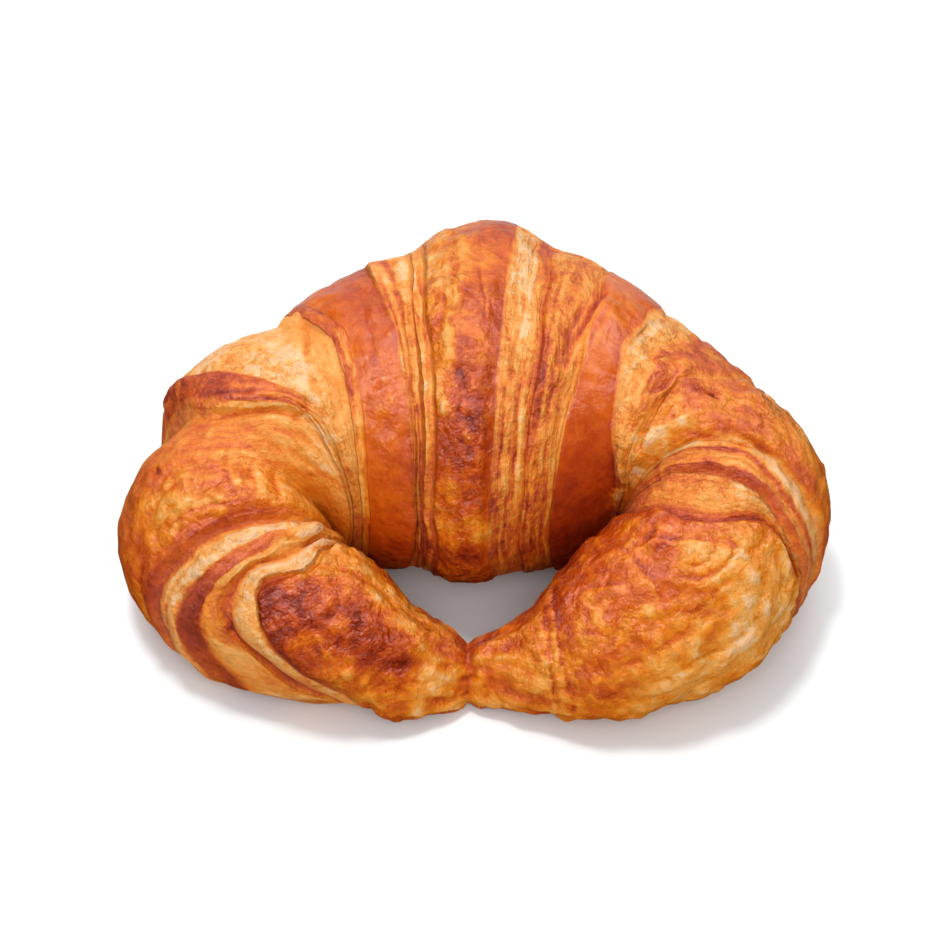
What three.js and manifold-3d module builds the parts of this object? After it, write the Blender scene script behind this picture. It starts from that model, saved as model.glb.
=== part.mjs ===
// A baked butter croissant: laminated dough rolled into a thick belly with tapering arms, the arms
// bent forward and their ends pinched and baked together at the front, so that the whole is one
// closed ring round a small gap. Millimetres, +Z up, resting on its flat base at z = 0, with the
// belly towards +Y and the joined ends towards -Y.

import * as THREE from "three";
import { mergeVertices } from "three/addons/utils/BufferGeometryUtils.js";
import Module from "manifold-3d";

// Driving dimensions of the baked croissant.
const WIDTH = 150; // left shoulder to right shoulder
const BELLY_HEIGHT = 66; // top of the middle wrap above the tray
const TIP_HEIGHT = 12; // height of the pinched ends where they join
const CRUST_COLOUR = 0xc8702a;
const CRUST_ROUGHNESS = 0.45;

// Fineness of the faceted skin.
const ROWS = 40; // points round each section
const COLUMN_RUN = 0.032; // share of the roll between neighbouring sections inside a wrap
const BASE_DIP = 0.12; // how far the uncut skin reaches below the tray, as a share of its waist
const LIP_RUN = 0.009; // share of the roll that a wrap's edge takes to drop to the next wrap
const NARROW = { shut: 0.12, open: 0.75 }; // how tightly packed sections flatten the wraps' edges

const HALF_WIDTH = WIDTH / 2;

// Sections along the roll, from the joined ends round the left arm, the belly and the right arm.
// along: place on the roll; x, y: middle of the section; swing: degrees from +X in which its outer
// side faces; reach: half its width in plan; top: its height; waist: height where it is widest.
const SECTIONS = [
  { along: -1.0, x: 0, y: -39.2, swing: 270, reach: 5, top: TIP_HEIGHT, waist: 6 },
  { along: -0.9, x: -12.5, y: -39, swing: 262, reach: 11, top: 22.5, waist: 10 },
  { along: -0.78, x: -28, y: -35.8, swing: 246, reach: 16, top: 33, waist: 15 },
  { along: -0.65, x: -42.5, y: -27.3, swing: 217, reach: 18.5, top: 41, waist: 18 },
  { along: -0.52, x: 23.5 - HALF_WIDTH, y: -14, swing: 180, reach: 22, top: 45.5, waist: 21 },
  { along: -0.4, x: -45, y: -2, swing: 142, reach: 24, top: 50.5, waist: 25 },
  { along: -0.26, x: -28.5, y: 8.8, swing: 107, reach: 28.5, top: 57, waist: 28 },
  { along: -0.12, x: -11, y: 13.5, swing: 95, reach: 36, top: 62, waist: 30 },
  { along: 0, x: 1, y: 15, swing: 90, reach: 40.5, top: BELLY_HEIGHT - 2, waist: 31 },
  { along: 0.12, x: 12, y: 14, swing: 84, reach: 38, top: 63, waist: 30 },
  { along: 0.26, x: 27.5, y: 8.5, swing: 70, reach: 30, top: 58, waist: 28 },
  { along: 0.4, x: 44, y: -1, swing: 38, reach: 24, top: 51, waist: 25 },
  { along: 0.52, x: HALF_WIDTH - 22, y: -12, swing: 0, reach: 21.5, top: 46.5, waist: 21 },
  { along: 0.65, x: 46, y: -27.8, swing: -38, reach: 20, top: 42, waist: 18 },
  { along: 0.78, x: 30.5, y: -36.5, swing: -66, reach: 17.5, top: 35, waist: 16 },
  { along: 0.9, x: 14, y: -39.2, swing: -82, reach: 10.5, top: 22, waist: 10 },
  { along: 1.0, x: 0, y: -39.2, swing: -90, reach: 5, top: TIP_HEIGHT, waist: 6 },
];

// Angles round a section, in degrees, at which each wrap's edge is placed:
// underneath, outer side, outer shoulder, top, inner shoulder, inner side.
const EDGE_ANGLES = [-90, 0, 45, 90, 135, 180];

// The edges of the rolled sheet, from the left tip to the right tip. at: place along the roll at
// each of EDGE_ANGLES; drop: how far the skin steps down there, from the wrap nearer the belly to
// the one nearer the tip.
const EDGES = [
  { at: [-0.79, -0.8, -0.722, -0.722, -0.74, -0.77], drop: [0.2, 0.4, 0.8, 0.8, 0.6, 0.3] },
  { at: [-0.73, -0.735, -0.682, -0.7, -0.71, -0.715], drop: [0.5, 2, 2.2, 2, 1.2, 0.6] },
  { at: [-0.6, -0.59, -0.595, -0.61, -0.625, -0.64], drop: [0.8, 2.2, 2.6, 2.4, 1.2, 0.6] },
  { at: [-0.45, -0.47, -0.465, -0.42, -0.335, -0.37], drop: [0.8, 2.4, 3, 3.4, 2.2, 0.8] },
  { at: [-0.29, -0.28, -0.27, -0.27, -0.265, -0.3], drop: [0.8, 2, 2.2, 2.2, 2, 1.2] },
  { at: [-0.11, -0.1, -0.095, -0.098, -0.1, -0.105], drop: [1, 2, 2, 2, 2.4, 3.6] },
  { at: [0.1, 0.09, 0.088, 0.088, 0.085, 0.085], drop: [1, 0.8, 0.8, 1.4, 2.2, 3.6] },
  { at: [0.29, 0.285, 0.285, 0.308, 0.4, 0.46], drop: [0.8, 1.2, 1.4, 1.8, 1.6, 0.8] },
  { at: [0.4, 0.4, 0.39, 0.37, 0.445, 0.5], drop: [0.8, 1.6, 1.8, 1.6, 1, 0.5] },
  { at: [0.56, 0.57, 0.55, 0.515, 0.51, 0.56], drop: [0.8, 2, 2.2, 2, 1.4, 0.8] },
  { at: [0.62, 0.61, 0.59, 0.645, 0.655, 0.67], drop: [0.8, 1.4, 1.8, 2, 1.6, 0.8] },
  { at: [0.83, 0.82, 0.74, 0.72, 0.73, 0.76], drop: [0.2, 0.4, 0.5, 0.5, 0.4, 0.2] },
];

// How much of an edge's drop shows above the mean skin, at the lip; the rest lies below it.
const LIP_SHARE = 0.35;
const BULGE = 0.8; // how far the middle of a wrap swells over the line from its root to its lip

// Cubic through (xs, ys) with slopes from the neighbouring points, held flat outside them.
function through(xs, ys, x) {
  const last = xs.length - 1;
  let i = 0;
  while (i < last - 1 && x > xs[i + 1]) i += 1;
  const slope = (k) => (ys[k + 1] - ys[k]) / (xs[k + 1] - xs[k]);
  const tangent = (k) => {
    if (k === 0) return slope(0);
    if (k === last) return slope(last - 1);
    const before = xs[k] - xs[k - 1];
    const after = xs[k + 1] - xs[k];
    return (slope(k - 1) * after + slope(k) * before) / (before + after);
  };
  const run = xs[i + 1] - xs[i];
  const u = THREE.MathUtils.clamp((x - xs[i]) / run, 0, 1);
  const start = (1 + 2 * u) * (1 - u) ** 2 * ys[i] + u * (1 - u) ** 2 * run * tangent(i);
  const end = u * u * (3 - 2 * u) * ys[i + 1] + u * u * (u - 1) * run * tangent(i + 1);
  return start + end;
}

// A value given at EDGE_ANGLES, at any angle, running smoothly round the section.
function roundSection(values, degrees) {
  const turn = THREE.MathUtils.euclideanModulo(degrees + 90, 360) - 90;
  const before = EDGE_ANGLES.map((a) => a - 360);
  const after = EDGE_ANGLES.map((a) => a + 360);
  return through([...before, ...EDGE_ANGLES, ...after], [...values, ...values, ...values], turn);
}

const stationPlaces = SECTIONS.map((s) => s.along);
const sectionValue = (key, along) => through(stationPlaces, SECTIONS.map((s) => s[key]), along);

// The smooth skin under the wraps, raised by lift along its own outward direction.
function skinPoint(along, degrees, lift = 0) {
  const swing = THREE.MathUtils.degToRad(sectionValue("swing", along));
  const angle = THREE.MathUtils.degToRad(degrees);
  const reach = sectionValue("reach", along);
  const waist = sectionValue("waist", along);
  const rise = Math.sin(angle) > 0 ? sectionValue("top", along) - waist : waist * (1 + BASE_DIP);
  const out = new THREE.Vector2(rise * Math.cos(angle), reach * Math.sin(angle)).normalize();
  const across = reach * Math.cos(angle) + lift * out.x;
  const up = waist + rise * Math.sin(angle) + lift * out.y;
  return new THREE.Vector3(
    sectionValue("x", along) + across * Math.cos(swing),
    sectionValue("y", along) + across * Math.sin(swing),
    up,
  );
}

// How openly the sections are spaced at a point, 0 in the tight inner bends and 1 elsewhere.
function openness(along, degrees) {
  const step = 0.01;
  const here = skinPoint(along - step, degrees).distanceTo(skinPoint(along + step, degrees));
  const mean = 2 * step * WIDTH;
  return THREE.MathUtils.smoothstep(here / mean, NARROW.shut, NARROW.open);
}

// Columns of the skin: for each, its place along the roll and its lift, as functions of the angle.
// A wrap rises from its root, below the lip of the wrap nearer the belly, to its own lip.
function columns() {
  const list = [];
  for (let k = 0; k <= EDGES.length; k += 1) {
    const start = k > 0 ? EDGES[k - 1] : null;
    const end = k < EDGES.length ? EDGES[k] : null;
    const towardsBelly = (edge) => Math.sign(edge.at[3]);
    const share = (edge, side) => (towardsBelly(edge) === side ? LIP_SHARE - 1 : LIP_SHARE);
    const liftFrom = (a) => (start ? share(start, 1) * roundSection(start.drop, a) : 0);
    const liftTo = (a) => (end ? share(end, -1) * roundSection(end.drop, a) : 0);
    const from = (a) => (start ? roundSection(start.at, a) + LIP_RUN / 2 : -1);
    const to = (a) => (end ? roundSection(end.at, a) - LIP_RUN / 2 : 1);
    const count = Math.max(3, Math.round((to(90) - from(90)) / COLUMN_RUN));
    for (let i = 0; i <= count; i += 1) {
      const u = i / count;
      const swell = BULGE * Math.sin(Math.PI * u);
      list.push({
        place: (a) => THREE.MathUtils.lerp(from(a), to(a), u),
        lift: (a) => THREE.MathUtils.lerp(liftFrom(a), liftTo(a), u * u * (3 - 2 * u)) + swell,
      });
    }
  }
  list.pop(); // the last column is the first one again, where the tips join
  return list;
}

// The wrapped skin as one closed ring of facets.
function wrappedSkin() {
  const list = columns();
  const points = [];
  for (const column of list) {
    for (let row = 0; row < ROWS; row += 1) {
      const degrees = (360 * row) / ROWS;
      const along = column.place(degrees);
      const lift = column.lift(degrees) * openness(along, degrees);
      const point = skinPoint(along, degrees, lift);
      points.push(point.x, point.y, point.z);
    }
  }
  const index = [];
  for (let c = 0; c < list.length; c += 1) {
    const next = (c + 1) % list.length;
    for (let row = 0; row < ROWS; row += 1) {
      const after = (row + 1) % ROWS;
      const a = c * ROWS + row;
      const b = next * ROWS + row;
      const d = c * ROWS + after;
      const e = next * ROWS + after;
      index.push(a, e, b, a, d, e);
    }
  }
  const geometry = new THREE.BufferGeometry();
  geometry.setAttribute("position", new THREE.Float32BufferAttribute(points, 3));
  geometry.setIndex(index);
  return geometry;
}

const wasm = await Module();
wasm.setup();

function solidOf(geometry) {
  const plain = geometry.clone();
  plain.deleteAttribute("normal");
  plain.deleteAttribute("uv");
  const merged = mergeVertices(plain, 1e-4);
  return new wasm.Manifold(
    new wasm.Mesh({
      numProp: 3,
      vertProperties: merged.attributes.position.array,
      triVerts: new Uint32Array(merged.index.array),
    }),
  );
}

function geometryOf(solid) {
  const mesh = solid.getMesh();
  const geometry = new THREE.BufferGeometry();
  geometry.setAttribute("position", new THREE.BufferAttribute(mesh.vertProperties, 3));
  geometry.setIndex(new THREE.BufferAttribute(mesh.triVerts, 1));
  geometry.computeVertexNormals();
  return geometry;
}

// The tray that flattened the base: everything below z = 0.
function belowTray() {
  const tray = new THREE.BoxGeometry(2 * WIDTH, 2 * WIDTH, WIDTH);
  tray.translate(0, 0, -WIDTH / 2);
  return tray;
}

const baked = solidOf(wrappedSkin()).subtract(solidOf(belowTray()));
const crust = new THREE.MeshStandardMaterial({
  color: CRUST_COLOUR,
  roughness: CRUST_ROUGHNESS,
  metalness: 0,
});
const croissant = new THREE.Mesh(geometryOf(baked), crust);
croissant.name = "croissant";

// The origin is the middle of the bounding box's base.
croissant.geometry.computeBoundingBox();
const middle = croissant.geometry.boundingBox.getCenter(new THREE.Vector3());
croissant.position.set(-middle.x, -middle.y, 0);

const model = new THREE.Group();
model.add(croissant);

export default model;
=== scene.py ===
"""A baked butter croissant on a pale table, laid out as a Blender add-on and run as a script."""

import math

import bpy
import numpy as np
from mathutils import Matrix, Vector


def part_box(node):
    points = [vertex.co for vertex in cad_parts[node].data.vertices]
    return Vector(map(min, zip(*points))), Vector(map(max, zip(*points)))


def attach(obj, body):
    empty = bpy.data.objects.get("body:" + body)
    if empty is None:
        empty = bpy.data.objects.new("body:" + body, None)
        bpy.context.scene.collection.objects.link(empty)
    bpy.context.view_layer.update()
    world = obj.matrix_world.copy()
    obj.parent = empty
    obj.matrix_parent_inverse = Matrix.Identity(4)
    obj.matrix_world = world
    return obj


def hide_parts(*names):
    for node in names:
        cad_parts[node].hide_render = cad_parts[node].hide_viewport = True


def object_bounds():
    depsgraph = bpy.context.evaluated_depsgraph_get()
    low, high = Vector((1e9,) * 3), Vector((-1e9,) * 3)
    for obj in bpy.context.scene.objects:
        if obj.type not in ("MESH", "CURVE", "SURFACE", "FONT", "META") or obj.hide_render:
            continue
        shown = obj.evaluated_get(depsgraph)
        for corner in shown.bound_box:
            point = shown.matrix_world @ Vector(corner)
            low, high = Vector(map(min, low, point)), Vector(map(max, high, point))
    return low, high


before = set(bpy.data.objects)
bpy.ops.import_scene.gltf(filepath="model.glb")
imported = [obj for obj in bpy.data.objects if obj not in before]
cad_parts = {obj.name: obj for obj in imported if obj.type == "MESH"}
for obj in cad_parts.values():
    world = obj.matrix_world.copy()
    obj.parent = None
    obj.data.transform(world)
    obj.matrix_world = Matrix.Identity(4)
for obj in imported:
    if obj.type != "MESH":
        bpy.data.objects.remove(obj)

bl_info = {
    "name": "Butter croissant",
    "version": (1, 0, 0),
    "blender": (4, 5, 0),
    "location": "3D View > Sidebar > Croissant",
    "description": "Models a baked croissant with laminated wraps and sets it on a lit table",
    "category": "Add Mesh",
}

CAD_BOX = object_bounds()
LOAF_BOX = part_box("croissant")

# Sections along the roll, from the joined ends round the left arm, the belly and the right arm,
# in millimetres and degrees: place on the roll, middle x, middle y, the way the outer side faces,
# half width in plan, height of the top, height of the widest part.
SECTIONS = np.array([
    (-1.00, 0.0, -39.2, 270, 5.0, 12.0, 6),
    (-0.90, -12.5, -39.0, 262, 11.0, 22.5, 10),
    (-0.78, -28.0, -35.8, 246, 16.0, 33.0, 15),
    (-0.65, -42.5, -27.3, 217, 18.5, 41.0, 18),
    (-0.52, -51.5, -14.0, 180, 22.0, 45.5, 21),
    (-0.40, -45.0, -2.0, 142, 24.0, 50.5, 25),
    (-0.26, -28.5, 8.8, 107, 28.5, 57.0, 28),
    (-0.12, -11.0, 13.5, 95, 36.0, 62.0, 30),
    (0.00, 1.0, 15.0, 90, 40.5, 64.0, 31),
    (0.12, 12.0, 14.0, 84, 38.0, 63.0, 30),
    (0.26, 27.5, 8.5, 70, 30.0, 58.0, 28),
    (0.40, 44.0, -1.0, 38, 24.0, 51.0, 25),
    (0.52, 53.0, -12.0, 0, 21.5, 46.5, 21),
    (0.65, 46.0, -27.8, -38, 20.0, 42.0, 18),
    (0.78, 30.5, -36.5, -66, 17.5, 35.0, 16),
    (0.90, 14.0, -39.2, -82, 10.5, 22.0, 10),
    (1.00, 0.0, -39.2, -90, 5.0, 12.0, 6),
])

# Width of the croissant in millimetres, against which the spacing of the rings is judged.
NOMINAL_WIDTH = 150

# Millimetres that the patterns laid along the roll run from a tip to the middle of the belly.
PATTERN_RUN = 170

# The most that the shape is enlarged to reach the frame's box.
MOST_STRETCH = 1.02

# How far the section would reach below the table, as a share of its widest part's height: this
# makes the flat base.
BASE_DIP = 0.12

# Angles round a section at which each contour's place is given: underneath, low outside,
# outside, outer side, outer shoulder, top, inner shoulder, inner side.
CONTOUR_ANGLES = np.array([-90, -30, 0, 30, 60, 90, 120, 160])

# Contours of the rolled sheet from the left tip to the right tip. place: along the roll at each
# of CONTOUR_ANGLES. Then, as one number or one at each of CONTOUR_ANGLES, lift: millimetres above
# the mean skin; bake: pale 0 to dark 1, set darker on the inner side partly as painted shade;
# glaze: dull 0 to glossy 1; leaf: how strongly thin leaves of pastry show; texture: smooth 0 to
# blistered, flaky or porous 1. Then swell: doming in millimetres on the way to the next contour;
# count: rings of faces on the way to it.
CONTOURS = [
    ("left join", [-1, -1, -1, -1, -1, -1, -1, -1], [0, 1.0, 0.8, 0.2, 0, 0, 0, 0],
     [.68, .56, .48, .48, .50, .58, .60, .70], 0.9, 0, 0.8, 0.3, 16),
    ("left tip waist", [-.90, -.90, -.90, -.90, -.90, -.90, -.90, -.90],
     [0.6, 2.2, 1.8, 0.4, 0.2, 0.2, 0.2, 0.2],
     [.70, .72, .68, .80, .98, .66, .54, .78], 1.0, 0, 1.0, 0.9, 30),
    ("left tip rim", [-.880, -.865, -.838, -.752, -.717, -.755, -.752, -.775],
     [-0.4, -0.6, -1.2, 0, 0.5, 0.5, 0.5, 0.5],
     [.70, .72, .70, .90, 1.0, .72, .50, .76], 0.95, 0, 1.0, 0, 3),
    ("left tip line", [-.875, -.858, -.830, -.745, -.711, -.748, -.745, -.768], -0.7,
     [.70, .70, .70, .84, .84, .55, .45, .70], 0.5, 0, 0.3, 0, 2),
    ("left tip pale", [-.870, -.850, -.822, -.738, -.705, -.741, -.738, -.760],
     [-0.8, -1.6, -1.8, -0.5, -0.3, -0.3, -0.3, -0.3],
     [.60, .56, .40, .18, .16, .20, .34, .60], 0.15, 0.4, 0.8, 0.5, 12),
    ("fifth root", [-.850, -.805, -.756, -.686, -.684, -.708, -.722, -.742],
     [-1.4, -3.4, -3.2, -1.6, -1.4, -1.4, -1.4, -1.2],
     [.70, .75, .78, .78, .70, .55, .55, .70], 0.2, 0, 0.3, 0, 3),
    ("fifth lip", [-.843, -.797, -.747, -.679, -.678, -.703, -.717, -.738],
     [-0.2, -2.0, -1.6, 0, 0.1, 0.1, 0.1, 0.1],
     [.45, .42, .40, .42, .42, .34, .40, .60], 0.4, 0.9, 0.5, 0, 7),
    ("fifth strip", [-.76, -.71, -.672, -.662, -.671, -.692, -.709, -.730],
     [0.8, 0.8, 0.8, 0.8, 0.7, 0.7, 0.7, 0.6],
     [.70, .84, .88, .88, .84, .66, .44, .60], 0.7, 0.3, 0.5, 0, 8),
    ("fifth strip end", [-.72, -.67, -.646, -.645, -.656, -.678, -.698, -.716],
     [1.2, 2.4, 1.8, 0.7, 0.6, 0.6, 0.6, 0.5],
     [.65, .78, .82, .82, .76, .56, .40, .58], 0.6, 0.4, 0.5, 0, 3),
    ("fifth pale", [-.71, -.662, -.640, -.639, -.651, -.672, -.692, -.710],
     [1.4, 3.0, 2.0, 0.2, -0.1, -0.1, -0.1, -0.1],
     [.50, .46, .36, .24, .14, .16, .28, .52], 0.2, 0.5, 0.9, 0.4, 10),
    ("fourth root", [-.66, -.63, -.614, -.614, -.620, -.643, -.664, -.684],
     [0.4, 2.2, 1.2, -0.9, -1.4, -1.4, -1.4, -1.2],
     [.70, .70, .70, .72, .72, .66, .50, .60], 0.3, 0, 0.3, 0, 3),
    ("fourth lip", [-.652, -.622, -.606, -.606, -.612, -.636, -.657, -.677],
     [1.6, 3.4, 2.4, 0.5, 0.2, 0.2, 0.2, 0.2],
     [.70, .72, .74, .80, .84, .80, .62, .55], 0.8, 0.3, 0.5, 0, 6),
    ("fourth brow", [-.630, -.600, -.590, -.588, -.592, -.612, -.635, -.655],
     [1.6, 3.0, 1.2, 0.2, 0.6, 1.0, 1.0, 1.0],
     [.60, .64, .64, .60, .58, .62, .48, .46], 1.0, [0, 0, .1, .2, .35, .45, .4, .2],
     [.6, .6, .6, .6, .7, .9, .6, .3], 0.7, 44),
    ("third root", [-.49, -.452, -.428, -.422, -.432, -.424, -.352, -.345],
     [-1.6, -2.8, -4.4, -5.0, -3.0, -1.6, -1.2, -0.8],
     [.60, .60, .56, .52, .50, .46, .40, .42], 0.4, 0, 0.3, 0, 3),
    ("third lip", [-.484, -.446, -.422, -.416, -.425, -.416, -.346, -.340],
     [-0.4, -1.0, -1.8, -2.4, -1.0, 0, 0, 0],
     [.50, .50, .50, .60, .60, .30, .30, .42], 0.5, 0.5, 0.5, 0, 3),
    ("third strip", [-.478, -.440, -.416, -.410, -.418, -.408, -.341, -.336],
     [0.5, 0.2, -0.2, -0.6, 0.6, 0.8, 0.5, 0.3],
     [.70, .74, .76, .78, .80, .76, .60, .42], 0.7, 0.8, 0.5, 0, 12),
    ("third strip end", [-.450, -.420, -.402, -.396, -.394, -.368, -.330, -.326],
     [0.8, 1.8, 3.0, 3.0, 1.6, 1.0, 0.5, 0.2],
     [.60, .66, .70, .76, .78, .74, .56, .42], 0.5, 0.3, 0.4, 0, 3),
    ("third pale", [-.443, -.413, -.396, -.390, -.387, -.361, -.325, -.320],
     [0.6, 1.4, 2.8, 2.6, 1.3, 0.4, 0.2, 0.1],
     [.46, .42, .33, .26, .23, .28, .46, .56], 0.3, 0.4, 0.9, 0.7, 30),
    ("second root", [-.302, -.298, -.294, -.288, -.282, -.264, -.262, -.285],
     [-1.2, -1.6, -1.9, -1.9, -1.4, -0.7, -0.6, -0.4],
     [.50, .40, .34, .32, .34, .34, .34, .50], 0.3, 0, 0.3, 0, 3),
    ("second lip", [-.297, -.293, -.289, -.283, -.277, -.259, -.257, -.280], 0.0,
     [.60, .60, .60, .62, .62, .60, .52, .48], 0.5, 1.0, 0.5, 0, 9),
    ("second brow", [-.285, -.280, -.276, -.270, -.262, -.238, -.232, -.250], 0.6,
     [.70, .74, .68, .60, .62, .73, .75, .70], 1.0, 0, 0.15, 0.3, 10),
    ("second middle", [-.235, -.232, -.230, -.228, -.226, -.205, -.198, -.205], 0.9,
     [.66, .70, .70, .68, .70, .80, .77, .74], 1.0, 0, [.2, .2, .2, .2, .2, .25, .5, .3], 0.1, 12),
    ("second end", [-.185, -.182, -.180, -.180, -.180, -.162, -.152, -.156], 0.5,
     [.60, .62, .66, .70, .72, .76, .72, .74], 0.8, 0.3, 0.3, 0, 3),
    ("leaves left", [-.178, -.175, -.173, -.173, -.173, -.156, -.147, -.151],
     [-0.1, 0, 0.5, 1.2, 0.8, -0.1, -0.1, -0.1],
     [.45, .42, .38, .36, .36, .40, .50, .58], 0.35, 1.0, 0.7, 0, 9),
    ("leaf line left", [-.160, -.157, -.155, -.154, -.152, -.146, -.140, -.146],
     [-0.4, -0.3, 0.1, 0.8, 0.4, -0.4, -0.4, -0.4],
     [.66, .66, .64, .62, .62, .66, .66, .60], 0.4, 0.8, 0.5, 0, 3),
    ("pale left", [-.153, -.150, -.148, -.147, -.145, -.140, -.135, -.141],
     [-0.3, -0.2, 0.1, 0.6, 0.3, -0.3, -0.3, -0.3],
     [.45, .42, .34, .24, .22, .38, .50, .58], 0.3, 0.8, 0.8, 0, 7),
    ("middle root left", [-.130, -.128, -.126, -.122, -.118, -.124, -.121, -.133],
     [-0.4, -0.4, -0.4, -0.3, -0.3, -0.4, -0.5, -0.5],
     [.66, .62, .56, .48, .46, .64, .70, .74], 0.4, 0, 0.3, 0, 3),
    ("middle strip left", [-.124, -.122, -.120, -.116, -.112, -.119, -.116, -.128],
     [-0.2, -0.2, -0.2, -0.3, -0.4, -0.2, 0, 0],
     [.50, .48, .44, .38, .34, .44, .42, .52], 0.5, 0.9, 0.7, 0, 7),
    ("middle line left", [-.104, -.102, -.100, -.096, -.094, -.100, -.096, -.106], 0.0,
     [.62, .58, .54, .50, .48, .54, .58, .62], 0.5, 0, 0.4, 0, 3),
    ("middle brow left", [-.096, -.094, -.092, -.088, -.086, -.091, -.088, -.097], 0.5,
     [.60, .54, .52, .48, .48, .54, .72, .70], 1.0, 0, 1.0, 0.5, 16),
    ("middle third", [-.035, -.035, -.035, -.035, -.035, -.035, -.035, -.035],
     [1.3, 1.3, 1.4, 1.4, 1.3, 1.3, 1.3, 1.3],
     [.66, .60, .58, .58, .60, .74, .90, .78], 1.0, 0, 1.0, 0.2, 14),
    ("middle crest", [.020, .020, .020, .020, .020, .020, .020, .015],
     [1.5, 1.5, 1.8, 2.2, 2.0, 1.6, 1.5, 1.5],
     [.70, .68, .68, .68, .70, .78, .88, .78], 1.0, 0, [.8, .8, .8, .8, .7, .6, 1, 1], 0.1, 12),
    ("middle brow right", [.084, .084, .082, .080, .080, .070, .064, .052],
     [1.0, 1.1, 1.7, 2.4, 2.0, 1.1, 1.0, 1.0],
     [.70, .70, .72, .72, .72, .76, .84, .72], 1.0, 0, 0.4, 0, 3),
    ("middle lip right", [.091, .090, .088, .086, .086, .076, .070, .058],
     [0.2, 0.4, 1.1, 2.0, 1.5, 0.4, 0.2, 0.2],
     [.50, .46, .42, .36, .32, .36, .48, .60], 0.5, 0.6, 0.7, 0, 4),
    ("leaves right", [.100, .098, .096, .094, .094, .084, .078, .067],
     [-0.3, -0.1, 0.6, 1.4, 0.9, -0.2, -0.3, -0.3],
     [.45, .42, .34, .22, .16, .22, .42, .56], 0.4, 0.8, 1.0, 0, 14),
    ("leaf strip right", [.150, .146, .142, .136, .134, .146, .149, .148],
     [-0.4, -0.2, 0.1, 0.5, 0.4, -0.3, -0.5, -0.5],
     [.60, .60, .60, .62, .62, .42, .50, .60], 0.4, 0.6, 0.6, 0, 3),
    ("leaf line right", [.160, .156, .152, .148, .146, .156, .160, .160],
     [-0.7, -0.5, 0, 0.4, 0.3, -0.5, -0.6, -0.6],
     [.64, .64, .62, .60, .60, .62, .66, .70], 0.4, 0.6, 0.5, 0, 4),
    ("second pale right", [.170, .166, .162, .158, .156, .165, .169, .170],
     [0.2, 0.3, 0.5, 0.6, 0.6, 0.3, 0.2, 0.1],
     [.50, .46, .42, .40, .50, .66, .68, .68], 0.6, 0.8, 1.0, 0.6, 18),
    ("third root right", [.236, .230, .225, .222, .226, .241, .245, .252],
     [-0.6, -0.1, 1.2, 2.4, 1.6, -0.6, -0.8, -0.8],
     [.50, .46, .44, .42, .44, .40, .36, .50], 0.3, 0, 0.4, 0, 3),
    ("third brow right", [.243, .237, .232, .229, .233, .248, .252, .259],
     [0.4, 0.8, 1.9, 3.1, 2.4, 0.7, 0.5, 0.4],
     [.70, .66, .62, .60, .58, .58, .70, .85], 1.0, 0, 0.2, 0.4, 16),
    ("third lip right", [.290, .290, .288, .288, .292, .298, .342, .480],
     [0.5, 0.8, 1.6, 2.4, 1.8, 0.7, 0.5, 0.4],
     [.72, .70, .66, .64, .64, .66, .76, .86], 0.95, 0, 0.2, 0, 2),
    ("third edge right", [.295, .295, .293, .293, .297, .303, .347, .485],
     [0.1, 0.3, 1.1, 1.8, 1.3, 0.2, 0.1, 0.1],
     [.45, .40, .36, .30, .28, .30, .40, .70], 0.4, 0, 0.4, 0, 2),
    ("fourth root right", [.300, .300, .298, .298, .302, .308, .352, .490],
     [-0.8, -0.4, 0.5, 1.2, 0.7, -0.6, -0.9, -0.9],
     [.46, .42, .36, .30, .24, .22, .38, .72], 0.35, 0.5, 1.0, 0.3, 13),
    ("fourth strip right", [.360, .352, .347, .344, .344, .351, .400, .510],
     [0.2, 0.2, 0.6, 0.9, 0.6, 0.2, 0.2, 0.2],
     [.66, .68, .68, .68, .68, .54, .38, .68], 0.7, 0.4, 0.9, 0, 10),
    ("fourth lip right", [.405, .400, .396, .393, .391, .380, .410, .518],
     [0.5, 0.6, 1.1, 1.5, 1.1, 0.5, 0.5, 0.5],
     [.60, .62, .64, .66, .66, .48, .36, .60], 0.6, 0, 0.6, 0, 2),
    ("fifth root right", [.411, .406, .402, .399, .397, .386, .416, .522],
     [-0.6, -0.4, 0.2, 0.7, 0.2, -0.6, -0.6, -0.6],
     [.45, .42, .38, .34, .32, .32, .36, .60], 0.4, 0, 0.5, 0, 3),
    ("fifth brow right", [.420, .414, .410, .407, .404, .393, .422, .526],
     [0.4, 0.6, 1.3, 1.9, 1.3, 0.4, 0.4, 0.4],
     [.55, .56, .56, .56, .58, .54, .44, .62], 1.0, 0.25, 0.9, 1.1, 24),
    ("fan brow", [.585, .565, .553, .541, .518, .492, .497, .545],
     [0.7, 0.8, 1.3, 1.6, 1.1, 0.7, 0.7, 0.7],
     [.66, .66, .66, .68, .70, .66, .50, .70], 0.8, 0, 0.6, 0, 3),
    ("fan leaf one", [.591, .571, .559, .547, .524, .498, .501, .549], -0.3,
     [.45, .38, .32, .26, .22, .26, .36, .66], 0.3, 0.9, 0.6, 0, 8),
    ("fan leaf two", [.602, .590, .580, .570, .553, .521, .511, .556], 0.3,
     [.70, .70, .72, .74, .78, .80, .70, .72], 0.6, 0.4, 0.5, 0, 5),
    ("fan leaf three", [.608, .597, .586, .576, .559, .530, .518, .562], -0.3,
     [.50, .46, .42, .40, .40, .38, .46, .68], 0.3, 0.8, 0.5, 0, 7),
    ("fan leaf four", [.614, .603, .592, .582, .566, .556, .545, .575], 0.2,
     [.70, .70, .70, .72, .76, .80, .72, .72], 0.5, 0.3, 0.4, 0, 4),
    ("fan root", [.620, .609, .598, .588, .573, .565, .555, .583], -1.3,
     [.60, .60, .60, .60, .60, .60, .60, .70], 0.2, 0, 0.3, 0.2, 3),
    ("sixth pale right", [.627, .616, .604, .593, .579, .572, .563, .590], -0.5,
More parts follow.
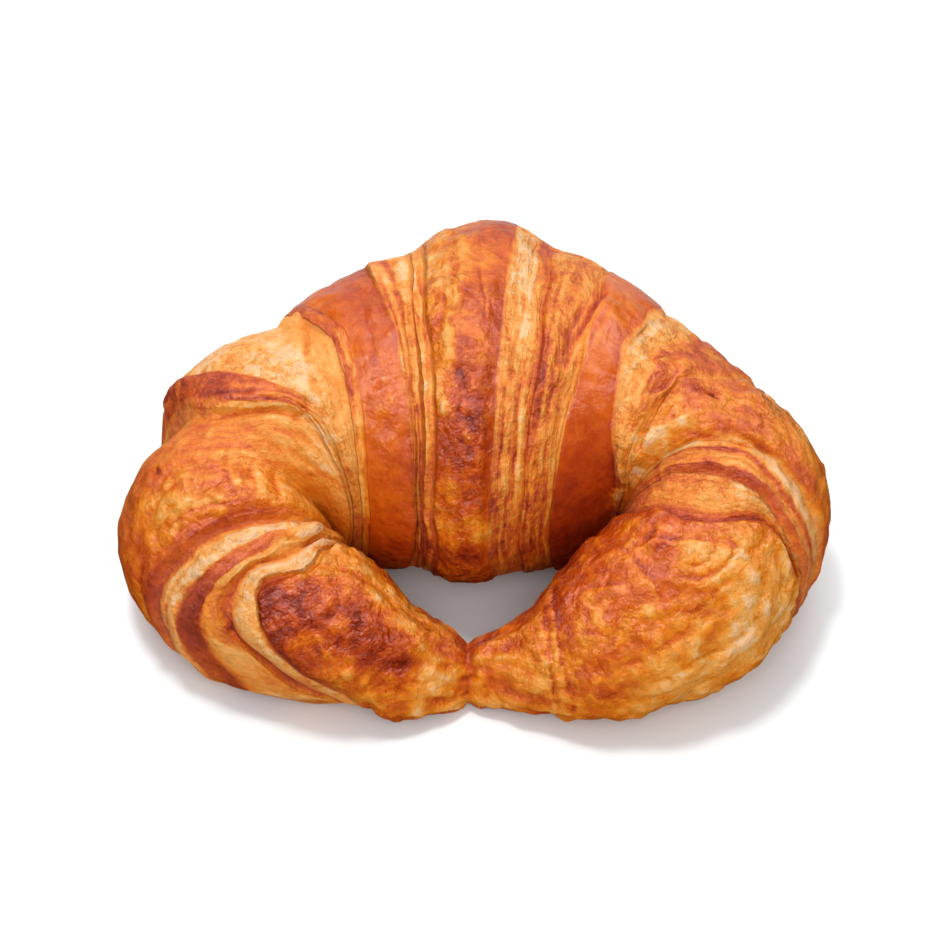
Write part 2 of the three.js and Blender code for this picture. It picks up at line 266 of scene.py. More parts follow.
     [.46, .42, .38, .34, .32, .33, .42, .72], 0.3, 0.5, 1.0, 0.8, 14),
    ("tip crease right", [.660, .635, .610, .597, .597, .642, .658, .668], -1.5,
     [.60, .60, .66, .72, .78, .82, .78, .85], 0.3, 0, 0.3, 0, 3),
    ("tip brow right", [.670, .645, .620, .607, .607, .652, .668, .678],
     [0.4, -0.2, 0, 0.5, 0.7, 0.7, 0.7, 0.7],
     [.48, .46, .38, .36, .50, .62, .70, .86], 1.0, 0.15, 0.8, 0.8, 22),
    ("tip middle right", [.75, .74, .73, .72, .72, .735, .745, .75],
     [0.4, -0.6, -0.2, 0.6, 0.8, 0.8, 0.8, 0.8],
     [.52, .50, .44, .48, .65, .69, .72, .88], 1.0, 0, 0.8, 0.6, 22),
    ("tip far right", [.83, .825, .82, .815, .81, .815, .82, .83], 0.6,
     [.60, .60, .64, .66, .66, .66, .74, .90], 0.95, 0, 0.85, 0.5, 18),
    ("right tip waist", [.89, .89, .89, .89, .89, .89, .89, .89],
     [0.3, 0.9, 0.7, 0.2, 0.2, 0.2, 0.2, 0.2],
     [.66, .62, .64, .68, .70, .70, .76, .88], 0.9, 0, 1.0, 0.4, 24),
]

# Folds and creases, each through points given as place along the roll and angle round it. crest:
# millimetres that the skin stands up on its left side; groove: how far it sinks on its right;
# width: reach of the crest in millimetres; bake: painted shade that darkens the groove; tint: of
# the crest.
FOLDS = [
    ([(-.276, 66), (-.284, 80), (-.297, 92), (-.306, 102), (-.314, 114)], 0.6, 0.6, 1.8, .30, .14),
    ([(-.440, 74), (-.424, 86), (-.398, 98), (-.370, 108), (-.336, 117)], 0.4, 0.3, 1.4, .26, -.18),
    ([(-.430, 70), (-.412, 84), (-.390, 95), (-.362, 106), (-.330, 116)], 0.4, 0.3, 1.3, .22, -.14),
    ([(-.414, 72), (-.398, 84), (-.376, 94), (-.352, 104), (-.326, 113)], 0.3, 0.3, 1.2, .20, -.12),
    ([(-.385, 103), (-.370, 111), (-.350, 118), (-.322, 124)], 0.4, 0.4, 1.8, .24, -.16),
    ([(-.434, 90), (-.440, 108), (-.430, 124), (-.380, 143)], 0.8, 0.7, 3.6, .16, -.12),
    ([(-.406, 103), (-.396, 114), (-.372, 125), (-.335, 141)], 0.7, 0.7, 3.0, .16, -.18),
    ([(-.470, 96), (-.480, 110), (-.470, 126), (-.430, 142)], 0.6, 0.5, 3.4, .14, -.14),
    ([(-.372, 114), (-.355, 124), (-.330, 134), (-.300, 146)], 0.5, 0.5, 2.4, .14, -.16),
    ([(-.420, 128), (-.390, 140), (-.350, 150), (-.310, 156)], 0.5, 0.5, 2.4, .14, -.14),
    ([(-.583, 28), (-.580, 46), (-.586, 62), (-.600, 80), (-.608, 92)], 0.3, 0.3, 1.6, .10, -.26),
    ([(-.552, 36), (-.556, 50), (-.552, 64), (-.556, 78)], 0.3, 0.3, 1.6, .08, -.20),
    ([(-.500, 112), (-.540, 110), (-.580, 106), (-.610, 100)], 0.4, 0.4, 1.8, .12, -.20),
    ([(-.480, 126), (-.530, 122), (-.590, 116), (-.640, 112)], 0.4, 0.4, 2.0, .12, -.16),
    ([(-.500, 96), (-.530, 97), (-.570, 94), (-.600, 92)], 0.3, 0.3, 1.6, .10, -.18),
    ([(-.252, 74), (-.247, 92), (-.246, 112), (-.252, 130), (-.268, 146)],
     0.3, 0.3, 1.3, .16, -.14),
    ([(-.244, 76), (-.238, 96), (-.238, 116), (-.246, 136)], 0.3, 0.3, 1.2, .14, -.10),
    ([(.241, 62), (.238, 74), (.231, 86), (.224, 98), (.219, 112)], 1.0, 1.8, 2.2, .50, -.08),
    ([(.226, 70), (.219, 82), (.213, 94), (.208, 108)], 0.8, 1.0, 1.6, .36, -.10),
    ([(.258, 72), (.254, 88), (.252, 100)], 0.3, 0.3, 1.2, .10, -.12),
    ([(.120, 58), (.124, 74), (.118, 90), (.112, 106), (.110, 124)], 0.3, 0.4, 1.2, .26, -.14),
    ([(.180, 66), (.176, 84), (.182, 104), (.186, 124), (.184, 146)], 0.3, 0.4, 1.4, .20, -.14),
    ([(.128, 112), (.134, 128), (.138, 146), (.136, 166)], 0.4, 0.5, 1.2, .24, -.24),
    ([(.096, 116), (.094, 132), (.090, 148), (.084, 164)], 0.3, 0.4, 1.2, .20, -.20),
    ([(.200, 110), (.206, 126), (.212, 142), (.216, 158)], 0.4, 0.4, 1.2, .20, -.12),
    ([(.352, 84), (.362, 78), (.374, 84), (.378, 94), (.368, 101), (.354, 97)],
     0.3, 0.4, 1.2, .26, -.16),
    ([(.356, 70), (.340, 82), (.330, 94), (.334, 106)], 0.3, 0.4, 1.4, .18, -.12),
    ([(.400, 112), (.430, 122), (.470, 126), (.510, 122)], 0.5, 0.5, 1.8, .16, -.18),
    ([(.420, 100), (.450, 104), (.480, 100), (.494, 92)], 0.4, 0.4, 1.6, .14, -.16),
    ([(.360, 118), (.395, 134), (.440, 146), (.500, 151), (.560, 148)], 0.5, 0.6, 1.6, .16, -.40),
    ([(.440, 130), (.490, 139), (.540, 140), (.600, 130)], 0.4, 0.5, 1.8, .18, -.14),
    ([(.490, 118), (.520, 126), (.560, 128), (.610, 120)], 0.4, 0.5, 1.8, .18, -.14),
    ([(.492, 98), (.498, 86), (.508, 74), (.518, 62)], 0.6, 0.8, 1.6, .34, -.10),
    ([(.652, 68), (.668, 78), (.700, 87), (.728, 98)], 0.4, 0.4, 1.6, .20, -.16),
    ([(.644, 84), (.640, 72), (.650, 62), (.676, 59), (.704, 62), (.724, 70)],
     0.5, 0.4, 1.4, .18, -.34),
    ([(.660, 74), (.672, 68), (.694, 67), (.712, 74)], 0.4, 0.4, 1.3, .16, -.28),
    ([(.686, 108), (.706, 98), (.730, 96), (.746, 102)], 0.4, 0.4, 1.5, .16, -.24),
    ([(.752, 58), (.751, 72), (.752, 86), (.756, 102)], 0.5, 0.5, 1.4, .22, -.26),
    ([(.604, 50), (.622, 52), (.640, 56), (.655, 60)], 0.4, 0.4, 2.0, .20, -.06),
    ([(.585, 44), (.592, 34), (.602, 24), (.620, 12)], 0.7, 0.7, 2.2, .28, -.05),
    ([(.600, 48), (.612, 40), (.620, 30), (.640, 14)], 0.6, 0.6, 2.4, .24, -.05),
    ([(.640, 44), (.655, 30), (.672, 18), (.700, 4)], 0.5, 0.4, 2.6, .12, -.08),
    ([(.660, 26), (.700, 20), (.740, 18), (.790, 14)], 0.5, 0.5, 1.8, .16, -.24),
    ([(.700, 46), (.735, 40), (.775, 34), (.820, 30)], 0.4, 0.4, 2.0, .12, -.18),
    ([(.660, 48), (.690, 52), (.720, 48), (.750, 50)], 0.3, 0.3, 1.5, .12, -.20),
    ([(.760, 88), (.782, 80), (.800, 84), (.826, 92)], 0.4, 0.3, 1.6, .10, -.24),
    ([(.868, -20), (.872, 20), (.876, 60), (.870, 100), (.862, 130)], 0.6, 0.6, 1.5, .24, -.30),
    ([(.884, -20), (.888, 24), (.890, 64), (.884, 104)], 0.5, 0.6, 1.4, .22, -.26),
    ([(-.750, 96), (-.785, 104), (-.820, 108), (-.865, 112)], 0.7, 0.6, 2.8, .14, -.10),
    ([(-.748, 84), (-.775, 90), (-.800, 96)], 0.5, 0.4, 2.0, .12, -.10),
    ([(-.724, 108), (-.734, 116), (-.742, 124)], 0.9, 0.9, 1.6, .24, -.40),
    ([(-.698, 100), (-.708, 108), (-.716, 120), (-.712, 132)], 0.6, 0.8, 1.6, .24, -.30),
    ([(-.690, 8), (-.692, 22), (-.690, 38)], 0.3, 0.5, 1.2, .30, -.20),
    ([(-.630, -10), (-.628, 12), (-.626, 34), (-.632, 54)], 0.3, 0.4, 1.2, .24, -.16),
    ([(-.602, -14), (-.590, 4), (-.582, 24)], 0.3, 0.4, 1.3, .16, -.20),
    ([(-.205, 62), (-.196, 84), (-.192, 104), (-.186, 126)], 0.2, 0.2, 2.2, .06, -.06),
    ([(-.168, 60), (-.160, 78), (-.150, 96), (-.145, 114)], 0.3, 0.5, 1.1, .30, -.26),
    ([(-.030, 60), (-.026, 74), (-.036, 88), (-.044, 98)], 0.3, 0.3, 1.4, .10, -.24),
    ([(.016, 78), (.026, 90), (.034, 102)], 0.4, 0.4, 1.0, .20, -.24),
    ([(-.060, 74), (-.052, 86), (-.062, 98), (-.072, 108)], 0.4, 0.4, 1.3, .16, -.24),
]

# Spots: place along the roll, angle round it, half length along and half width round in
# millimetres, turn in degrees, lift in millimetres, change of bake.
SPOTS = [
    (-.288, 58, 1.6, 3.2, 20, 1.6, -.05), (-.312, 101, 2.6, 7.0, -14, 0.3, -.22),
    (-.350, 112, 2.6, 0.8, 12, -0.9, .16),
    (-.522, 58, 1.3, 0.5, 20, -0.3, .50),
    (-.468, 81, 1.8, 1.2, 0, 0.3, -.16), (-.514, 92, 1.0, 2.0, 30, 0.3, -.18),
    (-.484, 67, 2.2, 1.5, 0, 0.3, -.14), (-.500, 106, 0.8, 2.2, 0, 0.3, -.20),
    (-.570, 96, 2.0, 0.8, 0, 0.3, -.20), (-.566, 111, 1.8, 0.8, 10, 0.3, -.22),
    (-.565, 64, 4.6, 6.0, 0, 0.5, -.14), (-.594, 50, 0.9, 2.4, 0, 0.3, -.30),
    (-.058, 105, 1.5, 4.6, 10, 0.4, -.16), (-.070, 127, 1.4, 2.0, 0, 0.6, -.26),
    (-.045, 92, 1.6, 3.0, -10, 0.3, -.18), (-.062, 84, 1.4, 2.4, 0, 0.3, -.16),
    (.030, 96, 0.8, 2.6, 20, 0.4, -.18), (-.010, 113, 1.2, 0.9, 0, 0.5, -.10),
    (.000, 122, 1.0, 1.4, 0, 0.5, -.16), (-.020, 128, 0.8, 1.4, 0, 0.5, -.22),
    (.022, 130, 0.9, 1.0, 0, 0.4, .14), (-.006, 137, 1.4, 1.0, 30, 0.5, -.20),
    (-.030, 118, 0.9, 1.2, 0, 0.4, .16), (.030, 118, 2.0, 1.4, 0, 0.5, .06),
    (-.058, 157, 2.6, 3.0, 0, 0.0, -.22), (.030, 172, 2.2, 3.0, 0, 0.2, -.20),
    (-.018, 184, 3.6, 0.8, 0, -0.3, .22), (-.050, 178, 1.6, 2.0, 0, 0.2, -.18),
    (.430, 80, 1.7, 0.75, 10, -0.4, .55), (.450, 116, 2.6, 2.0, 20, 0.8, -.30),
    (.452, 105, 2.2, 1.2, 30, 0.6, -.26), (.448, 132, 1.6, 1.4, 0, 0.8, -.20),
    (.498, 148, 1.2, 1.0, 0, 0.7, -.24), (.410, 122, 1.8, 1.2, 0, 0.4, -.18),
    (.400, 84, 2.6, 2.0, 0, 0.3, .14), (.470, 70, 3.0, 1.6, 0, 0.3, .12),
    (.690, 74, 3.6, 3.6, 0, 0.5, -.22), (.716, 92, 2.4, 2.6, 20, 0.5, .20),
    (.655, 47, 2.0, 2.4, 0, 0.5, -.24), (.668, 38, 1.8, 1.6, 0, 0.4, -.20),
    (.742, 104, 1.6, 1.0, 0, 0.7, -.26), (.735, 62, 4.0, 3.0, 0, -0.3, .04),
    (.690, 20, 5.0, 4.0, 0, 0.2, -.16), (.770, 60, 2.0, 1.4, 0, 0.4, -.20),
    (.830, 14, 2.4, 1.6, 0, 0.3, .14), (.860, 60, 2.4, 3.0, 0, 0.2, .14),
    (-.785, 66, 2.2, 1.4, 0, 0.4, -.16), (-.812, 84, 1.4, 2.2, 0, 0.5, -.22),
    (-.800, 48, 1.2, 0.8, 0, 0.5, -.26), (-.836, 40, 1.6, 1.0, 0, 0.4, -.24),
    (-.860, 96, 2.6, 1.4, 0, 0.4, -.24), (-.900, 70, 2.0, 1.2, 0, 0.4, .12),
]


def smooth_run(xs, ys, x):
    """Cubic through the points (xs, ys), with slopes from the neighbouring points."""
    xs = np.asarray(xs, float)
    ys = np.asarray(ys, float)
    run = np.diff(xs)
    slope = np.diff(ys) / run
    tangent = np.empty_like(ys)
    tangent[1:-1] = (slope[:-1] * run[1:] + slope[1:] * run[:-1]) / (run[1:] + run[:-1])
    tangent[0] = slope[0]
    tangent[-1] = slope[-1]
    i = np.clip(np.searchsorted(xs, x, side="right") - 1, 0, len(xs) - 2)
    u = np.clip((x - xs[i]) / run[i], 0, 1)
    value = (1 + 2 * u) * (1 - u) ** 2 * ys[i] + u * (1 - u) ** 2 * run[i] * tangent[i]
    return value + u * u * (3 - 2 * u) * ys[i + 1] + u * u * (u - 1) * run[i] * tangent[i + 1]


def round_section(values, degrees):
    """Values given at CONTOUR_ANGLES, at any angle, running smoothly round the section."""
    turn = np.mod(degrees + 90, 360) - 90
    angles = np.concatenate([CONTOUR_ANGLES - 360, CONTOUR_ANGLES, CONTOUR_ANGLES + 360])
    return smooth_run(angles, np.tile(values, 3), turn)


def smooth_step(low, high, x):
    """From 0 at low to 1 at high, level at both ends."""
    u = np.clip((x - low) / (high - low), 0, 1)
    return u * u * (3 - 2 * u)


def lattice(ix, iy, iz, seed):
    """A fixed random number from 0 to 1 at each whole-number point."""
    h = (ix * 374761393 + iy * 668265263 + iz * 1440662683 + seed * 974711) & 0xFFFFFFFF
    h = ((h ^ (h >> 13)) * 1274126177) & 0xFFFFFFFF
    h = ((h ^ (h >> 15)) * 2246822519) & 0xFFFFFFFF
    return ((h ^ (h >> 16)) & 0xFFFFFF) / 0xFFFFFF


def grain(x, y, z, seed=0):
    """Smooth noise from -1 to 1."""
    fx, fy, fz = np.floor(x), np.floor(y), np.floor(z)
    ix, iy, iz = fx.astype(np.int64), fy.astype(np.int64), fz.astype(np.int64)
    u, v, w = x - fx, y - fy, z - fz
    u, v, w = (a * a * a * (a * (a * 6 - 15) + 10) for a in (u, v, w))
    total = 0
    for dx, wx in ((0, 1 - u), (1, u)):
        for dy, wy in ((0, 1 - v), (1, v)):
            for dz, wz in ((0, 1 - w), (1, w)):
                total = total + wx * wy * wz * lattice(ix + dx, iy + dy, iz + dz, seed)
    return 2 * total - 1


def rough(x, y, z, octaves, seed=0):
    """Noise of several sizes added together, about -1 to 1."""
    total, size, norm = 0, 1.0, 0
    for k in range(octaves):
        total = total + size * grain(x * 2 ** k, y * 2 ** k, z * 2 ** k, seed + 17 * k)
        norm += size
        size *= 0.5
    return total / norm * 1.5


def bubbles(x, y, z, seed=0):
    """Distance to the nearest of a loose scatter of points, and that point's own random number."""
    fx, fy, fz = np.floor(x), np.floor(y), np.floor(z)
    ix, iy, iz = fx.astype(np.int64), fy.astype(np.int64), fz.astype(np.int64)
    best = np.full(x.shape, 9.0)
    own = np.zeros(x.shape)
    for dx in (-1, 0, 1):
        for dy in (-1, 0, 1):
            for dz in (-1, 0, 1):
                jx, jy, jz = ix + dx, iy + dy, iz + dz
                px = jx + lattice(jx, jy, jz, seed)
                py = jy + lattice(jx, jy, jz, seed + 1)
                pz = jz + lattice(jx, jy, jz, seed + 2)
                gap = np.sqrt((x - px) ** 2 + (y - py) ** 2 + (z - pz) ** 2)
                own = np.where(gap < best, lattice(jx, jy, jz, seed + 3), own)
                best = np.minimum(best, gap)
    return best, own


def section(key, along):
    """One column of SECTIONS at any place along the roll."""
    return smooth_run(SECTIONS[:, 0], SECTIONS[:, key], along)


def skin(along, degrees):
    """The mean skin: points, outward directions in the section, and the loaf laid out straight."""
    swing = np.radians(section(3, along))
    angle = np.radians(degrees)
    reach, top, waist = section(4, along), section(5, along), section(6, along)
    rise = np.where(np.sin(angle) > 0, top - waist, waist * (1 + BASE_DIP))
    across, up = reach * np.cos(angle), rise * np.sin(angle)
    out = np.stack([rise * np.cos(angle), reach * np.sin(angle)], -1)
    out /= np.linalg.norm(out, axis=-1, keepdims=True)
    point = np.stack([
        section(1, along) + across * np.cos(swing),
        section(2, along) + across * np.sin(swing),
        waist + up,
    ], -1)
    outward = np.stack([out[..., 0] * np.cos(swing), out[..., 0] * np.sin(swing), out[..., 1]], -1)
    return point, outward, np.stack([across, up], -1)


def frame_at(along, degrees):
    """A point of the mean skin, with its directions along the roll, round it, and outwards."""
    along, degrees = np.asarray(along, float), np.asarray(degrees, float)
    here, outward, _ = skin(along, degrees)
    lengthwise = skin(along + 0.004, degrees)[0] - skin(along - 0.004, degrees)[0]
    lengthwise /= np.linalg.norm(lengthwise, axis=-1, keepdims=True)
    crosswise = np.cross(outward, lengthwise)
    crosswise /= np.linalg.norm(crosswise, axis=-1, keepdims=True)
    return here, lengthwise, crosswise, np.cross(lengthwise, crosswise)


def folds(point):
    """Lift, painted shade in the groove and tint on the crest that the folds add at each point."""
    lift, bake = np.zeros(point.shape[:-1]), np.zeros(point.shape[:-1])
    wobble = grain(*(point[..., i] / 4 for i in range(3)), 61)
    for path, crest, groove, width, groove_shade, tint in FOLDS:
        knots = np.linspace(0, 1, len(path))
        fine = np.linspace(0, 1, 40)
        along, degrees = (smooth_run(knots, [p[i] for p in path], fine) for i in (0, 1))
        line, _, _, outward = frame_at(along, degrees)
        low, high = line.min(0) - 3 * width, line.max(0) + 3 * width
        near = np.all((point > low) & (point < high), axis=-1)
        p = point[near]
        gap = p[:, None, :] - line[None]
        nearest = np.argmin((gap ** 2).sum(-1), axis=1)
        gap = gap[np.arange(len(p)), nearest]
        course = np.gradient(line, axis=0)[nearest]
        course /= np.linalg.norm(course, axis=-1, keepdims=True)
        side = (np.cross(outward[nearest], course) * gap).sum(-1)
        side += 0.3 * width * wobble[near]
        beyond = np.abs((course * gap).sum(-1))
        fade = np.sin(np.pi * np.clip(fine[nearest], 0.02, 0.98)) ** 0.5 * np.exp(-beyond ** 2)
        up = np.where(side > 0, side / width * np.exp(1 - side / width), 0)
        down = np.exp(-((side + 0.25 * width) / (0.30 * width)) ** 2)
        lift[near] += fade * (crest * up - groove * down)
        bake[near] += fade * (groove_shade * down + tint * np.where(side > 0, np.exp(-side / width), 0))
    return lift, bake


def spots(point):
    """Lift and bake that the spots add at each point."""
    lift, bake = np.zeros(point.shape[:-1]), np.zeros(point.shape[:-1])
    ragged = grain(*(point[..., i] / 1.6 for i in range(3)), 71)
    for along, degrees, length, width, turn, rise, tint in SPOTS:
        centre, lengthwise, crosswise, _ = frame_at(along, degrees)
        c, s = math.cos(math.radians(turn)), math.sin(math.radians(turn))
        first, second = c * lengthwise + s * crosswise, c * crosswise - s * lengthwise
        gap = point - centre
        far = np.linalg.norm(gap, axis=-1) > 2.5 * max(length, width) + 2
        reach = np.hypot(gap @ first / length, gap @ second / width) + 0.35 * ragged
        inside = np.where(far, 0, 1 - smooth_step(0.55, 1.15, reach))
        lift += rise * inside
        bake += tint * inside
    return lift, bake


def rings_of_faces():
    """Which contour each ring of points starts from, and how far it is towards the next one."""
    start, share = [], []
    for k, contour in enumerate(CONTOURS):
        count = contour[8]
        start += [k] * count
        share += [i / count for i in range(count)]
    return np.array(start), np.array(share)


def row_angles(rows):
    """Angles of the rows of points, closer together over the top than underneath."""
    turn = np.linspace(0, 2 * np.pi, rows, endpoint=False)
    return np.degrees(turn - 0.32 * np.sin(turn - np.pi)) - 90


def shape_of(sizes, rows):
    """Positions in millimetres, and the finish, of every point of the croissant's skin."""
    start, share = rings_of_faces()
    degrees = row_angles(rows)
    places = np.array([round_section(c[1], degrees) for c in CONTOURS] + [np.ones(rows)])
    looped = CONTOURS + [CONTOURS[0]]
    lifts, bakes, glazes, leaves, textures = (
        np.array([round_section(np.full(8, 1.0) * c[i], degrees) for c in looped])
        for i in range(2, 7))
    swells = np.array([c[7] for c in looped])

    # Each contour wanders a little from its drawn line.
    for k in range(1, len(CONTOURS)):
        angle = np.radians(degrees)
        wander = rough(3 * np.cos(angle) + 9 * (k // 3), 3 * np.sin(angle), 0 * angle, 4, 5)
        ragged = rough(11 * np.cos(angle) + 31 * k, 11 * np.sin(angle), 0 * angle, 2, 6)
        places[k] += 0.0050 * wander + 0.0010 * ragged
    places[1:-1] = np.maximum.accumulate(places[1:-1], axis=0)

    u = share[:, None]
    along = places[start] * (1 - u) + places[start + 1] * u
    grid = np.broadcast_to(degrees, along.shape)
    ease = (share * share * (3 - 2 * share))[:, None]
    lift, glaze, texture = (
        v[start] * (1 - ease) + v[start + 1] * ease for v in (lifts, glazes, textures))
    late = smooth_step(0.6, 1.0, share)[:, None]
    share_of_next = np.where(bakes[start + 1] > bakes[start], late, ease)
    bake = bakes[start] * (1 - share_of_next) + bakes[start + 1] * share_of_next
    leaf = leaves[start]

    # A wrap stays full and falls away late where the next root lies deep.
    late_fall = smooth_step(0.72, 1.0, share)[:, None]
    deep = 0.35 * smooth_step(2.5, 6.0, lifts[start] - lifts[start + 1])
    full = lifts[start] * (1 - late_fall) + lifts[start + 1] * late_fall
    lift = lift * (1 - deep) + full * deep
    height = lift + swells[start, None] * np.sin(np.pi * u)

    # How openly the rings are spaced: tight in the inner bends, where the relief is held back.
    step = 0.01
    ahead, behind = skin(along + step, grid)[0], skin(along - step, grid)[0]
    spread = np.linalg.norm(ahead - behind, axis=-1) / (2 * step * NOMINAL_WIDTH)
    openness = smooth_step(0.10, 0.75, spread)

    point, outward, straight = skin(along, grid)
    x, y, z = point[..., 0], point[..., 1], point[..., 2]

    # Where each ring lies on the loaf laid out straight, in millimetres.
    middle = along[:, rows // 2 + rows // 16]
    run = np.abs(np.diff(middle, prepend=middle[0])) * PATTERN_RUN
    ring_place = np.cumsum(run)
    roll = np.broadcast_to(ring_place[:, None], along.shape)
    across, up = straight[..., 0], straight[..., 1]

    # The folds add lift, painted shade in their grooves and a tint on their crests.
    fold_lift, fold_shade_and_tint = folds(point)
    spot_lift, spot_bake = spots(point)
    height += fold_lift + spot_lift
    bake += fold_shade_and_tint + spot_bake

    # Thin leaves: fine ridges that run along the wraps' edges, pale on the crest.
    warp = rough(across / 14, up / 14, roll / 8, 3, 11)
    ridge = rough(roll / 1.25 + 1.3 * warp, across / 34, up / 34, 2, 12)
    patchy = 0.75 + 0.5 * rough(across / 9, up / 9, roll / 4, 2, 13)
    height += sizes.leaf_height * 1000 * leaf * ridge * patchy
    bake += -0.20 * leaf * ridge * patchy

    # Blisters on the glazed wraps, fine stretch wrinkles on the pale dough.
    gap, own = bubbles(x / 3.8, y / 3.8, z / 3.8, 21)
    blister = smooth_step(0, 1, 1 - gap / (0.40 + 0.35 * own)) * (own > 0.35)
    height += sizes.blister_height * 1000 * blister * glaze * texture
    bake -= 0.16 * blister * glaze * texture
    uneven = rough(x / 13, y / 13, z / 13, 4, 31)
    height += (0.5 + 0.5 * texture) * uneven
    bake += (0.03 + 0.07 * texture) * uneven
    bake += 0.07 * rough(x / 24, y / 24, z / 24, 2, 37)
    crumple = 1 - 2 * np.abs(rough(x / 8, y / 8, z / 8, 3, 41))
    height += 0.36 * crumple * texture
    bake += -0.08 * crumple * texture
    pit = rough(x / 2.6, y / 2.6, z / 2.6, 2, 45)
    height += (0.04 + 0.10 * texture) * pit

    # The inner side of the belly is darker, partly baked dark and partly painted shade, and the
    # base is dull brown.
    bake += 0.08 * smooth_step(158, 190, grid) * (1 - smooth_step(0.42, 0.55, np.abs(along)))
    under = 1 - smooth_step(0.4, 3.0, z)
    bake = bake * (1 - under) + (0.62 + 0.12 * uneven) * under
    glaze = glaze * (1 - 0.8 * under)

    # Drawn-out wrinkles near the pinched ends, lighter on their ridges and darker in their folds,
    # partly their own colour and partly painted highlight and shade.
    near_tip = smooth_step(0.80, 0.97, np.abs(along))
    pleat = rough(across / 2.2, up / 2.2, roll / 26, 2, 51)
    height += 0.8 * near_tip * pleat
    bake += -0.24 * near_tip * pleat
    # The crease where the ends join sinks and is darkened with painted shade.
    join = np.exp(-((1 - np.abs(along)) / 0.012) ** 2)
    height -= 0.5 * join
    bake += 0.12 * join

    height *= openness
    point = point + outward * height[..., None]
    finish = {"bake": bake, "glaze": glaze, "flaky": texture, "leafy": leaf}
    loaf = np.stack([roll, across, up], -1)
    return point, finish, loaf


def colour_ramp(nodes, stops, name):
    ramp = nodes.new("ShaderNodeValToRGB")
    ramp.name = ramp.label = name
    band = ramp.color_ramp
    band.elements[0].position, band.elements[0].color = stops[0][0], (*stops[0][1], 1)
    band.elements[1].position, band.elements[1].color = stops[-1][0], (*stops[-1][1], 1)
    for place, colour in stops[1:-1]:
        band.elements.new(place).color = (*colour, 1)
    return ramp


def linear(code):
    """A colour given as sRGB 0 to 255, as the linear numbers that shaders use."""
    return tuple(((c / 255 + 0.055) / 1.055) ** 2.4 if c > 10 else c / 255 / 12.92 for c in code)


class LoafSettings(bpy.types.PropertyGroup):
    leaf_height: bpy.props.FloatProperty(
        name="Leaf height", description="How far the thin leaves stand proud at the wraps' edges",
        default=0.00026, min=0, max=0.002, unit="LENGTH", precision=5)
    blister_height: bpy.props.FloatProperty(
        name="Blister height", description="How far the blisters in the glaze stand proud",
        default=0.00065, min=0, max=0.002, unit="LENGTH", precision=5)
    pale: bpy.props.FloatVectorProperty(
        name="Pale dough", description="Least baked dough, between the wraps",
        default=linear((232, 191, 152)), min=0, max=1, size=3, subtype="COLOR")
    gold: bpy.props.FloatVectorProperty(
        name="Gold", description="Lightly baked crust",
        default=linear((232, 159, 73)), min=0, max=1, size=3, subtype="COLOR")
    amber: bpy.props.FloatVectorProperty(
        name="Amber", description="Crust baked to amber",
        default=linear((223, 126, 22)), min=0, max=1, size=3, subtype="COLOR")
    brown: bpy.props.FloatVectorProperty(
        name="Brown", description="Well baked crust",
        default=linear((201, 88, 11)), min=0, max=1, size=3, subtype="COLOR")
    russet: bpy.props.FloatVectorProperty(
        name="Russet", description="Dark baked crust on the raised wraps",
        default=linear((172, 59, 10)), min=0, max=1, size=3, subtype="COLOR")
    dark: bpy.props.FloatVectorProperty(
        name="Dark", description="Darkest crust",
        default=linear((120, 30, 8)), min=0, max=1, size=3, subtype="COLOR")


class StageSettings(bpy.types.PropertyGroup):
    elevation: bpy.props.FloatProperty(
        name="Camera elevation", description="How far above the table the camera looks from",
        default=math.radians(50), min=0, max=math.pi / 2, subtype="ANGLE")
    distance: bpy.props.FloatProperty(
        name="Camera distance", description="From the camera to the middle of the croissant",
        default=0.56, min=0.1, max=5, unit="LENGTH")
    lens: bpy.props.FloatProperty(
        name="Lens", description="Focal length in millimetres",
        default=100, min=20, max=300)


